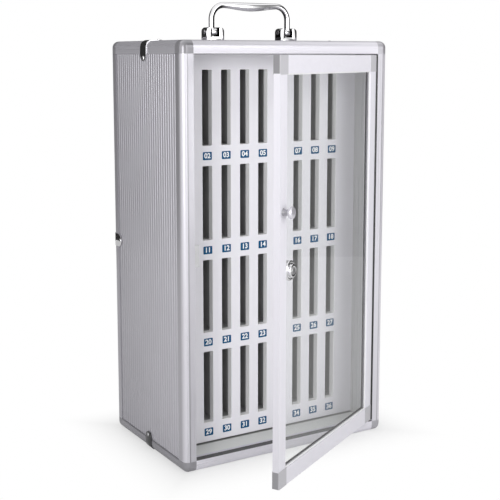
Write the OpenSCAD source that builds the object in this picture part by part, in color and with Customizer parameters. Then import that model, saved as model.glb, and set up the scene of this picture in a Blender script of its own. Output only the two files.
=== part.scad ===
// Table cabinet with a slotted inner panel and a glazed door.
// Origin: middle of the base, on the surface that the cabinet stands on.
// X runs to the right, Y to the back, Z up. All sizes are in millimetres.
// The door is drawn closed and then turned open about its hinge.

/* [Case] */
// Width over the edge profiles
case_w = 288; // [240:1:360]
// Depth over the edge profiles
case_d = 192; // [170:1:260]
// Height over the edge profiles
case_h = 500; // [490:1:560]
// Width of an edge profile on each of its faces
edge_w = 15.3; // [14:0.1:20]
// Height of the bottom edge profiles and bottom corner caps
foot_h = 13.5; // [12:0.1:18]
// Radius of the outer rounding of profiles and caps
edge_r = 8; // [4:0.5:10]

/* [Panels] */
// Thickness of an outer panel
skin_t = 2.4; // [1.5:0.1:3.5]
// Step from the profile's face down to the outer panel
skin_inset = 1.2; // [0.9:0.1:2]
// Depth of the groove that holds a panel's edge
groove = 6; // [4:0.5:7]
// Running gap round a panel edge and between boards
fit_gap = 0.1; // [0.05:0.05:0.2]
// Distance between two ribs of the outer panels
rib_pitch = 5.9; // [4:0.1:10]
// Width of a rib at its foot
rib_w = 3.8; // [2:0.2:3.8]
// Height of a rib
rib_h = 0.5; // [0.2:0.1:0.7]
// Thickness of the bottom panel
base_t = 3; // [2:0.5:5]
// Height of the inner floor above the table
floor_z = 13; // [11:0.5:13]

/* [Slot panel] */
// Distance from the front face to the slot panel
recess = 46; // [36:1:60]
// Thickness of the slot panel
grille_t = 9; // [2:0.5:10]
// Width of a slot
slot_w = 13; // [9:0.5:17]
// Height of a slot
slot_h = 89; // [70:1:98]
// Distance between two slots in a row
col_pitch = 25.7; // [24:0.1:26]
// Distance between two rows
row_pitch = 112.9; // [108:0.1:114]
// Centre of the first slot, measured from the left lining
first_col = 16.2; // [13:0.1:20]
// Top of the first row, measured down from the case top
first_row = 33.7; // [28:0.1:40]
// Dark gap under the slot panel
foot_gap = 1.4; // [0.5:0.1:3]
// Width of a number label
label_w = 12; // [8:0.5:16]
// Height of a number label
label_h = 9.5; // [6:0.5:12]
// Thickness of a number label
label_t = 0.3; // [0.2:0.1:0.6]
// Label centre, measured down from the slot's foot
label_drop = 12; // [8:0.5:14]
// Least room under the lowest labels
label_room = 2; // [1:0.5:6]
// Thickness of a shelf
shelf_t = 1.5; // [1:0.1:3]
// Thickness of a divider between two slots
divider_t = 1.2; // [0.8:0.1:2]
// Depth of the dividers behind the slot panel
divider_d = 100; // [40:1:110]

/* [Door] */
// Opening angle of the door as it is shown
door_open = 29.3; // [0:0.1:90]
// Thickness of the door frame
door_t = 7.8; // [7:0.1:10]
// Width of the two upright door profiles
stile_w = 15.4; // [12:0.1:20]
// Height of the two level door profiles
rail_h = 19; // [14:0.5:26]
// Gap between the door's top and the case
door_gap_top = 1.6; // [1.2:0.1:4]
// Gap between the door's foot and the case
door_gap_foot = 3.3; // [1.5:0.1:5]
// Gap between the door's free edge and the case
door_gap_free = 1.5; // [1:0.1:3]
// Thickness of the pane
pane_t = 3; // [2:0.5:3.5]
// Depth of the groove that holds the pane
pane_groove = 5; // [3:0.5:5.5]
// Visible width of the black bead round the pane
bead_w = 1.5; // [1:0.1:3]
// Thickness of the black bead
bead_t = 1.1; // [0.6:0.1:1.4]
// Width of a door corner cap's face plate
door_cap_w = 17; // [16:0.5:24]
// Height of a door corner cap's face plate
door_cap_h = 20; // [19.5:0.5:30]
// Thickness of a door corner cap's face plates
door_cap_t = 0.4; // [0.2:0.1:0.5]
// Width of the sealing strip round the opening
seal_w = 8; // [3:0.2:8]
// Thickness of the sealing strip
seal_t = 0.6; // [0.3:0.1:0.8]
// Distance of the sealing strip from the front face
seal_y = 1.5; // [1:0.1:4]

/* [Hinge] */
// Radius of a hinge knuckle
knuckle_r = 1.6; // [1.4:0.1:1.8]
// Radius of the hinge pin
hinge_pin_r = 0.8; // [0.6:0.1:0.9]
// Distance from the hinge axis to the case and to the door edge
hinge_off = 1.9; // [1.9:0.1:2.4]
// Thickness of a hinge leaf
leaf_t = 0.8; // [0.5:0.1:1]
// Width of the leaf on the case
leaf_w = 11; // [9:0.5:14]
// Number of knuckles
knuckles = 13; // [7:2:17]
// Gap between two knuckles
knuckle_gap = 0.4; // [0.2:0.1:0.6]
// Radial running clearance of pins and plug
run_gap = 0.05; // [0.02:0.01:0.08]
// Radius of a hinge rivet
hinge_rivet_r = 1.3; // [1:0.1:1.6]
// Number of rivets in each leaf
hinge_rivets = 6; // [3:1:9]

/* [Knob and lock] */
// Height of the knob above the table
knob_z = 320; // [260:1:400]
// Radius of the knob's neck
knob_neck_r = 3.2; // [2:0.1:4]
// Length of the knob's neck
knob_neck = 8.5; // [5:0.5:12]
// Radius of the knob's head
knob_r = 6.7; // [5:0.1:9]
// Thickness of the knob's head
knob_t = 4.2; // [3:0.1:6]
// Radius of the knob's screw
knob_screw_r = 1.5; // [1:0.1:1.8]
// Height of the lock above the table
lock_z = 254; // [200:1:290]
// Distance of the lock from the stile's inner edge
lock_in = 12; // [12:0.5:24]
// Radius of the lock's flange
lock_flange_r = 11.2; // [10:0.1:11.6]
// Thickness of the lock's flange
lock_flange_t = 2; // [1:0.1:2.4]
// Radius of the lock's head
lock_head_r = 7.5; // [6:0.1:8.5]
// Height of the lock's head above its flange
lock_head_t = 3; // [1:0.1:5]
// Radius of the lock's barrel
lock_barrel_r = 8; // [7:0.1:9]
// Radius of the turning plug
plug_r = 4; // [3:0.1:5]
// Radius of the lock's nut
nut_r = 11; // [10:0.1:12]
// Thickness of the lock's nut
nut_t = 4; // [2:0.5:5]
// Thickness of the cam
cam_t = 1.8; // [1:0.1:2.5]
// Reach of the cam from the plug's axis
cam_reach = 24; // [20:0.5:27]
// Width of the cam
cam_w = 9; // [7:0.5:10]
// Width of the catch's lip beside the door
catch_lip = 12; // [8:0.5:15]
// Thickness of the catch
catch_t = 1.4; // [1:0.1:2]
// Height of the catch
catch_h = 26; // [20:1:40]
// Gap between the cam and the catch
catch_gap = 0.6; // [0.4:0.1:1]

/* [Handle] */
// Position of the handle, front to back
handle_y = -4; // [-20:1:20]
// Distance between the legs of the bow
leg_span = 109.2; // [90:0.5:140]
// Distance between the bracket middles
bracket_span = 105.8; // [90:0.5:140]
// Width of a bracket
bracket_w = 24.3; // [20:0.1:30]
// Depth of a bracket
bracket_d = 14; // [12:0.5:20]
// Top of a bracket above the case top
bracket_h = 16.5; // [15:0.5:20]
// Radius of a bracket's upper corners
bracket_r = 5; // [2:0.5:6]
// Width of the slot in a bracket
bracket_slot = 11; // [9:0.5:13]
// Foot of that slot above the case top
bracket_slot_z = 5.5; // [3:0.5:6]
// Height of the handle's pins above the case top
pin_z = 11; // [10.5:0.5:11.5]
// Radius of a handle pin
pin_r = 1.5; // [1:0.1:2]
// Radius of the bow's foot round its pin
foot_r = 4.8; // [4:0.1:4.8]
// Radius of the bow's rod
rod_r = 3.5; // [2.5:0.1:4]
// Height of the bow above the case top
bow_h = 47; // [40:1:70]
// Centre-line radius of the bow's corners
bow_r = 17; // [10:0.5:20]
// Thickness of the grip in its middle
grip_t = 10.4; // [8.5:0.1:12]

/* [Clips] */
// Width of an edge clip
clip_w = 16; // [10:0.5:22]
// Length of a clip's leg from the edge
clip_leg = 24; // [20:0.5:30]
// Length of a bottom clip's leg from the foot
foot_leg = 22; // [19:0.5:30]
// Height of a bottom clip's end above the table
foot_clip_z = 0.6; // [0.4:0.1:2]
// Thickness of a clip
clip_t = 0.8; // [0.5:0.1:1.2]
// Radius of a clip rivet's head
rivet_r = 2.6; // [1.5:0.1:4]
// Height of a clip rivet's head
rivet_h = 1.1; // [0.5:0.1:2]

/* [Hidden] */
$fn = 64;
eps = 0.01;
xl = -case_w/2;
xr = case_w/2;
yf = -case_d/2;
yb = case_d/2;
// inner faces of profiles and linings
ix = case_w/2 - edge_w;
iyf = yf + edge_w;
iyb = yb - edge_w;
izt = case_h - edge_w;
skin_in = skin_inset + skin_t;
// slot panel
gy = yf + recess;
gyb = gy + grille_t;
grille_x = ix - fit_gap;
grille_z0 = floor_z + foot_gap;
grille_z1 = izt - fit_gap;
// as many rows and columns as the case has room for
row_need = slot_h + label_drop + label_h/2 + label_room;
slot_rows = floor((case_h - first_row - grille_z0 - row_need)/row_pitch) + 1;
slot_cols = floor((2*ix - first_col - (col_pitch + divider_t)/2)/col_pitch) + 1;
function col_x(i) = -ix + first_col + col_pitch*i;
function row_top(r) = case_h - first_row - row_pitch*r;
function row_foot(r) = row_top(r) - slot_h;
// hinge and door, in the closed position
hx = ix - hinge_off;
hy = yf;
door_x1 = hx - hinge_off;
door_x0 = -ix + door_gap_free;
door_z0 = foot_h + door_gap_foot;
door_z1 = izt - door_gap_top;
door_w = door_x1 - door_x0;
pane_y = yf + (door_t - pane_t)/2;
pane_x0 = door_x0 + stile_w;
pane_x1 = door_x1 - stile_w;
pane_z0 = door_z0 + rail_h;
pane_z1 = door_z1 - rail_h;
knuckle_l = (door_z1 - door_z0)/knuckles;
// lock
lock_x = pane_x0 + lock_in;
plug_y0 = pane_y - lock_flange_t - lock_head_t - 0.4;
catch_y0 = yf + door_t + 4.6;
cam_y0 = catch_y0 + catch_t + catch_gap;
barrel_y1 = cam_y0 - 0.8;
// handle
top_z = case_h - skin_inset;
pz = case_h + pin_z;
rod_z = case_h + bow_h - rod_r;
plate_t = 2.2;
screw_head_t = 1.6;
screw_x = bracket_w/2 - 4;

// ---------- helpers ----------

// A box between two corners.
module box(a, b) {
  translate(a) cube([b[0] - a[0], b[1] - a[1], b[2] - a[2]]);
}

// Copies the children to the right, back or top half of the case.
module half_x(on) {
  if (on) mirror([1, 0, 0]) children();
  else children();
}

module half_y(on) {
  if (on) mirror([0, 1, 0]) children();
  else children();
}

// Section of an edge profile with its outer corner at the origin.
module edge_section(a, b, r = edge_r) {
  difference() {
    square([a, b]);
    difference() {
      translate([-1, -1]) square([r + 1, r + 1]);
      translate([r, r]) circle(r);
    }
  }
}

// Disc or rod whose axis runs front to back, from y0 to y1.
module rod_y(x, z, y0, y1, r) {
  translate([x, y1, z]) rotate([90, 0, 0]) cylinder(r = r, h = y1 - y0);
}

// Rod whose axis runs left to right, from x0 to x1.
module rod_x(y, z, x0, x1, r) {
  translate([x0, y, z]) rotate([0, 90, 0]) cylinder(r = r, h = x1 - x0);
}

// Turns the closed door's pieces into the position shown.
module at_door() {
  translate([hx, hy, 0]) rotate([0, 0, door_open]) translate([-hx, -hy, 0]) children();
}

// Colours as seen.
module satin() { color([0.80, 0.80, 0.82]) children(); }
module grey() { color([0.58, 0.58, 0.60]) children(); }
module chrome() { color([0.88, 0.88, 0.90]) children(); }
module steel() { color([0.62, 0.62, 0.64]) children(); }
module black() { color([0.08, 0.08, 0.09]) children(); }

// ---------- case profiles ----------

// Grooves for the panels, cut from every profile.
module panel_room(g = fit_gap) {
  y0 = yf + edge_w - groove - g;
  z0 = foot_h - groove - g;
  z1 = case_h - edge_w + groove + g;
  x0 = edge_w - groove - g;
  for (s = [0, 1]) half_x(s == 1)
    box([xl + skin_inset - g, y0, z0], [xl + skin_in + g, -y0, z1]);
  box([xl + x0, yb - skin_in - g, z0], [xr - x0, yb - skin_inset + g, z1]);
  box([xl + x0, y0, case_h - skin_in - g], [xr - x0, -y0, case_h - skin_inset + g]);
  box([xl + x0, y0, -1], [xr - x0, -y0, base_t + g]);
}

module post(right, back) {
  difference() {
    half_x(right) half_y(back) translate([xl, yf, foot_h])
      linear_extrude(case_h - foot_h - edge_w) edge_section(edge_w, edge_w);
    panel_room();
    if (right && !back) hinge_rivet_set(run_gap, true);
    if (back) half_x(right) back_clip_rivets(run_gap);
  }
}

// Rails from side to side; the section's first size runs along Y.
module rail_x(back, top) {
  h = top ? edge_w : foot_h;
  difference() {
    half_y(back) translate([xl + edge_w, yf, top ? case_h : 0])
      rotate([90, 0, 90]) linear_extrude(case_w - 2*edge_w) {
        if (top) mirror([0, 1]) edge_section(edge_w, h);
        else edge_section(edge_w, h);
      }
    panel_room();
  }
}

// Rails from front to back.
module rail_y(right, top) {
  h = top ? edge_w : foot_h;
  difference() {
    half_x(right) translate([xl, iyb, top ? case_h : 0])
      rotate([90, 0, 0]) linear_extrude(case_d - 2*edge_w) {
        if (top) mirror([0, 1]) edge_section(edge_w, h);
        else edge_section(edge_w, h);
      }
    panel_room();
    half_x(right) if (top) top_clip_rivets(run_gap);
    else foot_clip_rivets(run_gap);
  }
}

// Corner cap: a cube with three rounded edges that meet in a ball.
module corner_cap(h) {
  r = edge_r;
  p = edge_w;
  intersection() {
    union() {
      box([r, 0, r], [p, p, h]);
      box([0, r, r], [p, p, h]);
      box([r, r, 0], [p, p, h]);
      translate([r, r, r]) cylinder(r = r, h = h - r);
      translate([r, r, r]) rotate([0, 90, 0]) cylinder(r = r, h = p - r);
      translate([r, r, r]) rotate([-90, 0, 0]) cylinder(r = r, h = p - r);
      translate([r, r, r]) sphere(r);
    }
    box([0, 0, 0], [p, p, h]);
  }
}

module corner_caps(top) {
  h = top ? edge_w : foot_h;
  for (i = [0, 1]) for (j = [0, 1]) difference() {
    half_x(i == 1) half_y(j == 1) {
      if (top) translate([xl, yf, case_h]) mirror([0, 0, 1]) corner_cap(h);
      else translate([xl, yf, 0]) corner_cap(h);
    }
    panel_room();
  }
}

// ---------- outer panels ----------

// Row of ribs along a span, as an outline with its foot inside the sheet.
module rib_row(span, sink) {
  n = floor((span - rib_w)/rib_pitch);
  start = (span - n*rib_pitch)/2;
  for (i = [0:n]) {
    c = start + i*rib_pitch;
    polygon([[c - rib_w/2, -sink], [c - rib_w/2, 0], [c - rib_w/2 + rib_h, rib_h],
      [c + rib_w/2 - rib_h, rib_h], [c + rib_w/2, 0], [c + rib_w/2, -sink]]);
  }
}

module side_panel(right) {
  span = case_d - 2*edge_w - 1;
  tall = case_h - edge_w - foot_h - 1;
  half_x(right) difference() {
    union() {
      box([xl + skin_inset, yf + edge_w - groove, foot_h - groove],
        [xl + skin_in, yb - edge_w + groove, case_h - edge_w + groove]);
      translate([xl + skin_inset, -span/2, foot_h + 0.5]) rotate([0, 0, 90])
        linear_extrude(tall) rib_row(span, skin_t/2);
    }
    top_clip_rivets(run_gap);
    foot_clip_rivets(run_gap);
    back_clip_rivets(run_gap);
  }
}

module back_panel() {
  span = case_w - 2*edge_w - 1;
  tall = case_h - edge_w - foot_h - 1;
  difference() {
    union() {
      box([xl + edge_w - groove, yb - skin_in, foot_h - groove],
        [xr - edge_w + groove, yb - skin_inset, case_h - edge_w + groove]);
      translate([-span/2, yb - skin_inset, foot_h + 0.5])
        linear_extrude(tall) rib_row(span, skin_t/2);
    }
    for (s = [0, 1]) half_x(s == 1) back_clip_rivets(run_gap);
  }
}

module top_panel() {
  g = edge_w - groove;
  difference() {
    box([xl + g, yf + g, case_h - skin_in], [xr - g, yb - g, case_h - skin_inset]);
    handle_screw_set(run_gap);
    for (s = [0, 1]) half_x(s == 1) top_clip_rivets(run_gap);
  }
}

module bottom_panel() {
  g = edge_w - groove;
  box([xl + g, yf + g, 0], [xr - g, yb - g, base_t]);
}

// ---------- inner linings ----------

module side_lining(right) {
  half_x(right) difference() {
    box([xl + skin_in + fit_gap, iyf + fit_gap, foot_h + fit_gap],
      [-ix, iyb - fit_gap, izt - fit_gap]);
    top_clip_rivets(run_gap);
    foot_clip_rivets(run_gap);
    back_clip_rivets(run_gap);
    if (!right) catch_screw_set(run_gap);
  }
}

module back_lining() {
  difference() {
    box([-ix + fit_gap, iyb, foot_h + fit_gap],
      [ix - fit_gap, yb - skin_in - fit_gap, izt - fit_gap]);
    for (s = [0, 1]) half_x(s == 1) back_clip_rivets(run_gap);
  }
}

module top_lining() {
  difference() {
    box([-ix + fit_gap, iyf + fit_gap, izt], [ix - fit_gap, iyb - fit_gap,
      case_h - skin_in - fit_gap]);
    handle_plate_room();
    handle_screw_set(run_gap);
    for (s = [0, 1]) half_x(s == 1) top_clip_rivets(run_gap);
  }
}

module floor_lining() {
  box([-ix + fit_gap, iyf + fit_gap, base_t + fit_gap], [ix - fit_gap, iyb - fit_gap, floor_z]);
}

// ---------- edge clips ----------

// Bent strap round an outer edge, drawn in the plane with the edge at the
// origin, one leg along each axis and the tips rounded.
module clip_bend() {
  linear_extrude(clip_w, center = true) difference() {
    translate([-clip_t, -clip_t]) edge_section(edge_r + clip_t, edge_r + clip_t,
      edge_r + clip_t);
    edge_section(edge_r + 1, edge_r + 1);
  }
}

// Flat leg from the bend to its rounded tip, lying on the plane y = 0.
module clip_leg_flat(len) {
  r = clip_w/2;
  translate([edge_r - eps, -clip_t, -r]) cube([len - r - edge_r + eps, clip_t, clip_w]);
  translate([len - r, 0, 0]) rotate([90, 0, 0]) cylinder(r = r, h = clip_t);
}

module clip(leg_a, leg_b) {
  clip_bend();
  clip_leg_flat(leg_a);
  mirror([1, -1, 0]) clip_leg_flat(leg_b);
}

// Places a clip's plane on the top left, bottom left or back left edge.
module at_top_left() {
  translate([xl, 0, case_h]) rotate([-90, 0, 0]) children();
}

module at_foot_left() {
  translate([xl, 0, 0]) rotate([90, 0, 0]) children();
}

module at_back_left() {
  translate([xl, yb, case_h/2]) mirror([0, 1, 0]) children();
}

module clips_left() {
  difference() {
    union() {
      at_top_left() clip(clip_leg, clip_leg);
      at_back_left() clip(clip_leg, clip_leg);
      foot_clip();
    }
    top_clip_rivets(run_gap);
    foot_clip_rivets(run_gap);
    back_clip_rivets(run_gap);
  }
}

// The bottom clip ends at the foot, clear of the surface below.
module foot_clip() {
  difference() {
    at_foot_left() {
      clip_bend();
      mirror([1, -1, 0]) clip_leg_flat(foot_leg);
    }
    box([xl - 5, -clip_w, -edge_r], [xl + 2*edge_r, clip_w, foot_clip_z]);
  }
}

// A domed rivet through one leg, in the clip's own plane.
module leg_rivet(g, leg = clip_leg) {
  translate([leg - rivet_r - 1, -clip_t, 0]) rotate([90, 0, 0]) {
    if (g == 0) rotate_extrude() polygon([[0, 0], [rivet_r, 0], [rivet_r, rivet_h*0.3],
      [rivet_r*0.85, rivet_h*0.7], [rivet_r*0.5, rivet_h*0.95], [0, rivet_h]]);
    translate([0, 0, -(clip_t + skin_in + 4)])
      cylinder(r = 1.2 + g, h = clip_t + skin_in + 4 + (g > 0 ? 1 : 0));
  }
}

module top_clip_rivets(g = 0) {
  at_top_left() {
    leg_rivet(g);
    mirror([1, -1, 0]) leg_rivet(g);
  }
}

module foot_clip_rivets(g = 0) {
  at_foot_left() mirror([1, -1, 0]) leg_rivet(g, foot_leg);
}

module back_clip_rivets(g = 0) {
  at_back_left() {
    leg_rivet(g);
    mirror([1, -1, 0]) leg_rivet(g);
  }
}

// ---------- slot panel ----------

// Level strips above, between and below the rows.
module strips() {
  for (k = [0:slot_rows]) {
    top = k == 0 ? grille_z1 : row_foot(k - 1);
    foot = k == slot_rows ? grille_z0 : row_top(k);
    box([-grille_x, gy, foot], [grille_x, gyb, top]);
  }
}

// Upright bars between the slots of each row.
module bars() {
  for (r = [0:slot_rows - 1]) for (i = [0:slot_cols]) {
    a = i == 0 ? -grille_x : col_x(i - 1) + slot_w/2;
    b = i == slot_cols ? grille_x : col_x(i) - slot_w/2;
    box([a, gy, row_foot(r)], [b, gyb, row_top(r)]);
  }
}

module labels() {
  for (r = [0:slot_rows - 1]) for (i = [0:slot_cols - 1])
    translate([col_x(i), gy, row_foot(r) - label_drop])
      box([-label_w/2, -label_t, -label_h/2], [label_w/2, 0, label_h/2]);
}

module shelf_set() {
  for (r = [0:slot_rows - 1])
    box([-grille_x, gyb, row_foot(r) - shelf_t], [grille_x, iyb - fit_gap, row_foot(r)]);
}

module divider_set() {
  for (r = [0:slot_rows - 1]) for (i = [0:slot_cols - 1]) {
    x = col_x(i) + col_pitch/2;
    top = r == 0 ? grille_z1 : row_foot(r - 1) - shelf_t;
    box([x - divider_t/2, gyb, row_foot(r)], [x + divider_t/2, gyb + divider_d, top]);
  }
}

// ---------- sealing strip ----------

module seal() {
  y0 = yf + seal_y;
  y1 = y0 + seal_w;
  box([-ix, y0, foot_h], [ix, y1, foot_h + seal_t]);
  box([-ix, y0, foot_h + seal_t], [-ix + seal_t, y1, izt - seal_t]);
  box([-ix, y0, izt - seal_t], [ix, y1, izt]);
}

// ---------- hinge ----------

// One leaf with its knuckles. The leaf on the case has the odd ones.
module leaf(side, width, first) {
  z0 = door_z0;
  out = hinge_off;
  difference() {
    union() {
      for (k = [first:2:knuckles - 1]) {
        za = z0 + k*knuckle_l + knuckle_gap/2;
        zb = z0 + (k + 1)*knuckle_l - knuckle_gap/2;
        translate([hx, hy, za]) cylinder(r = knuckle_r, h = zb - za);
        half_leaf(side, out, 0, width/2, za, zb);
      }
      half_leaf(side, out, knuckle_r + 0.3, width, z0, door_z1);
    }
    translate([hx, hy, z0 - 1]) cylinder(r = hinge_pin_r + run_gap, h = door_z1 - z0 + 2);
  }
}

module half_leaf(side, out, y0, y1, za, zb) {
  a = side > 0 ? out - leaf_t : -out;
  box([hx + a, hy + y0, za], [hx + a + leaf_t, hy + y1, zb]);
}

// Rivets of the leaf on the case, or of the leaf on the door.
module hinge_rivet_set(g, on_case) {
  n = hinge_rivets;
  step = (door_z1 - door_z0)/n;
  y = on_case ? leaf_w - 3.2 : door_t/2 + 1;
  s = on_case ? 1 : -1;
  for (i = [0:n - 1]) translate([hx + s*(hinge_off - leaf_t), hy + y,
      door_z0 + (i + 0.5)*step]) rotate([0, s*90, 0]) {
    cylinder(r = hinge_rivet_r + g, h = leaf_t + 4);
    if (g == 0) translate([0, 0, -0.3]) cylinder(r = hinge_rivet_r*1.6, h = 0.3);
  }
}

// ---------- door ----------

// Room for the pane and its hole in the frame.
module pane_room(g = fit_gap) {
  box([pane_x0 - pane_groove - g, pane_y - g, pane_z0 - pane_groove - g],
    [pane_x1 + pane_groove + g, pane_y + pane_t + g, pane_z1 + pane_groove + g]);
}

module stile(hinge) {
  x0 = hinge ? pane_x1 : door_x0;
  difference() {
    box([x0, yf, pane_z0], [x0 + stile_w, yf + door_t, pane_z1]);
    pane_room();
    if (hinge) hinge_rivet_set(run_gap, false);
    else rod_y(door_x0 + stile_w/2, knob_z, yf - 1, yf + door_t + 1, knob_screw_r + run_gap);
  }
}

module door_rail(top) {
  z0 = top ? pane_z1 : door_z0;
  difference() {
    box([pane_x0, yf, z0], [pane_x1, yf + door_t, z0 + rail_h]);
    pane_room();
  }
}

// Corner caps: a block at each corner with a thin plate on both faces.
module door_corner_caps() {
  mx = (door_x0 + door_x1)/2;
  mz = (door_z0 + door_z1)/2;
  for (i = [0, 1]) for (j = [0, 1]) difference() {
    translate([mx, 0, mz]) half_x(i == 1) {
      if (j == 1) mirror([0, 0, 1]) one_door_cap();
      else one_door_cap();
    }
    pane_room();
    hinge_rivet_set(run_gap, false);
  }
}

module one_door_cap() {
  hw = door_w/2;
  hh = (door_z1 - door_z0)/2;
  box([-hw, yf, -hh], [-hw + stile_w, yf + door_t, -hh + rail_h]);
  box([-hw, yf - door_cap_t, -hh], [-hw + door_cap_w, yf, -hh + door_cap_h]);
  box([-hw, yf + door_t, -hh], [-hw + door_cap_w, yf + door_t + door_cap_t,
    -hh + door_cap_h]);
}

module pane() {
  difference() {
    box([pane_x0 - pane_groove, pane_y, pane_z0 - pane_groove],
      [pane_x1 + pane_groove, pane_y + pane_t, pane_z1 + pane_groove]);
    rod_y(lock_x, lock_z, pane_y - 1, pane_y + pane_t + 1, lock_barrel_r + fit_gap);
  }
}

// Black beads before and behind the pane, inside the frame's edge.
module bead() {
  for (y = [pane_y - bead_t, pane_y + pane_t]) difference() {
    box([pane_x0, y, pane_z0], [pane_x1, y + bead_t, pane_z1]);
    box([pane_x0 + bead_w, y - 1, pane_z0 + bead_w],
      [pane_x1 - bead_w, y + bead_t + 1, pane_z1 - bead_w]);
    rod_y(lock_x, lock_z, y - 1, y + bead_t + 1,
      max(lock_flange_r, nut_r) + fit_gap);
  }
}

// ---------- knob and lock ----------

// Turned shape whose axis points out of the door, starting at depth y.
module turned(x, z, y, points) {
  translate([x, y, z]) rotate([90, 0, 0]) rotate_extrude() polygon(points);
}

module door_knob() {
  n = knob_neck;
  t = knob_t;
  r = knob_r;
  difference() {
    turned(door_x0 + stile_w/2, knob_z, yf, [[0, 0], [knob_neck_r + 0.9, 0],
      [knob_neck_r + 0.6, 0.6], [knob_neck_r, 1.2], [knob_neck_r, n - 1],
      [knob_neck_r + 0.8, n], [r - 0.6, n], [r - 0.1, n + 0.4], [r, n + 1],
      [r, n + t*0.45], [r*0.96, n + t*0.65], [r*0.84, n + t*0.82], [r*0.62, n + t*0.94],
      [r*0.32, n + t*0.99], [0, n + t]]);
    rod_y(door_x0 + stile_w/2, knob_z, yf - 6, yf + 1, knob_screw_r + run_gap);
  }
}

module knob_fixing() {
  rod_y(door_x0 + stile_w/2, knob_z, yf - 5.5, yf + door_t, knob_screw_r);
  rod_y(door_x0 + stile_w/2, knob_z, yf + door_t, yf + door_t + 1.4, knob_screw_r*2);
}

module lock_shell() {
  f = lock_flange_t;
  h = lock_head_t;
  rf = lock_flange_r;
  rh = lock_head_r;
  difference() {
    union() {
      turned(lock_x, lock_z, pane_y, [[0, 0], [rf, 0], [rf, f*0.4], [rf - 0.3, f*0.75],
        [rf - 1, f], [rh + 0.3, f*0.8], [rh, f], [rh, f + h*0.7], [rh - 0.3, f + h*0.9],
        [rh - 0.9, f + h], [0, f + h]]);
      rod_y(lock_x, lock_z, pane_y - eps, barrel_y1, lock_barrel_r);
    }
    rod_y(lock_x, lock_z, plug_y0 - 1, barrel_y1 + 1, plug_r + run_gap);
  }
}

module nut() {
  difference() {
    translate([lock_x, pane_y + pane_t + nut_t, lock_z]) rotate([90, 0, 0])
      cylinder(r = nut_r, h = nut_t, $fn = 6);
    rod_y(lock_x, lock_z, pane_y, pane_y + pane_t + nut_t + 1, lock_barrel_r + run_gap);
  }
}

module plug() {
  difference() {
    rod_y(lock_x, lock_z, plug_y0, cam_y0, plug_r);
    box([lock_x - 0.6, plug_y0 - 1, lock_z - 2.4], [lock_x + 0.6, plug_y0 + 8, lock_z + 2.4]);
    rod_y(lock_x, lock_z, cam_y0 - 6, cam_y0 + 1, 1.5 + run_gap);
  }
}

module cam() {
  r = cam_w/2;
  difference() {
    union() {
      rod_y(lock_x, lock_z, cam_y0, cam_y0 + cam_t, max(r, plug_r + 1));
      box([lock_x - r, cam_y0, lock_z - cam_reach + r], [lock_x + r, cam_y0 + cam_t, lock_z]);
      rod_y(lock_x, lock_z - cam_reach + r, cam_y0, cam_y0 + cam_t, r);
    }
    rod_y(lock_x, lock_z, cam_y0 - 1, cam_y0 + cam_t + 1, 1.5 + run_gap);
  }
}

module cam_fixing() {
  rod_y(lock_x, lock_z, cam_y0 - 5.5, cam_y0 + cam_t, 1.5);
  rod_y(lock_x, lock_z, cam_y0 + cam_t, cam_y0 + cam_t + 1.6, 3.2);
}

module catch_plate() {
  difference() {
    union() {
      box([-ix, catch_y0, lock_z - catch_h/2], [-ix + catch_lip, catch_y0 + catch_t,
        lock_z + catch_h/2]);
      box([-ix, catch_y0, lock_z - catch_h/2], [-ix + catch_t, iyf + 12,
        lock_z + catch_h/2]);
    }
    catch_screw_set(run_gap);
  }
}

module catch_screw_set(g = 0) {
  for (s = [-1, 1]) {
    rod_x(iyf + 6, lock_z + s*catch_h/4, -ix - 8, -ix + catch_t + (g > 0 ? 1 : 0), 1.3 + g);
    if (g == 0) rod_x(iyf + 6, lock_z + s*catch_h/4, -ix + catch_t, -ix + catch_t + 1, 2.4);
  }
}

// ---------- handle ----------

module bracket() {
  w = bracket_w/2;
  r = bracket_r;
  y0 = handle_y - bracket_d/2;
  y1 = handle_y + bracket_d/2;
  zt = case_h + bracket_h;
  difference() {
    union() {
      box([-w, y0, top_z], [w, y1, zt - r]);
      box([-w + r, y0, zt - r], [w - r, y1, zt]);
      for (s = [-1, 1]) rod_y(s*(w - r), zt - r, y0, y1, r);
    }
    box([-bracket_slot/2, y0 - 1, case_h + bracket_slot_z], [bracket_slot/2, y1 + 1, zt + 1]);
    rod_x(handle_y, pz, -w - 1, w + 1, pin_r + run_gap);
  }
}

module bracket_pair() {
  difference() {
    for (s = [-1, 1]) translate([s*bracket_span/2, 0, 0]) bracket();
    handle_screw_set(run_gap);
  }
}

module pin_pair() {
  w = bracket_w/2;
  for (s = [-1, 1]) translate([s*bracket_span/2, 0, 0]) {
    rod_x(handle_y, pz, -w, w, pin_r);
    for (t = [0, 1]) half_x(t == 1) rod_x(handle_y, pz, w, w + 0.6, pin_r*1.7);
  }
}

module bow() {
  lx = leg_span/2;
  cx = lx - bow_r;
  cz = rod_z - bow_r;
  zt = case_h + bow_h;
  difference() {
    union() {
      for (s = [-1, 1]) {
        translate([s*lx, handle_y, pz]) cylinder(r = rod_r, h = cz - pz);
        rod_x(handle_y, pz, s*bracket_span/2 - bracket_slot/2 + 0.3,
          s*bracket_span/2 + bracket_slot/2 - 0.3, foot_r);
      }
      rod_x(handle_y, rod_z, -cx, cx, rod_r);
      for (s = [0, 1]) half_x(s == 1) translate([cx, handle_y, cz]) rotate([90, 0, 0])
        rotate_extrude(angle = 90) translate([bow_r, 0]) circle(rod_r);
      grip(cx, zt);
    }
    rod_x(handle_y, pz, -case_w, case_w, pin_r + run_gap);
  }
}

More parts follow.
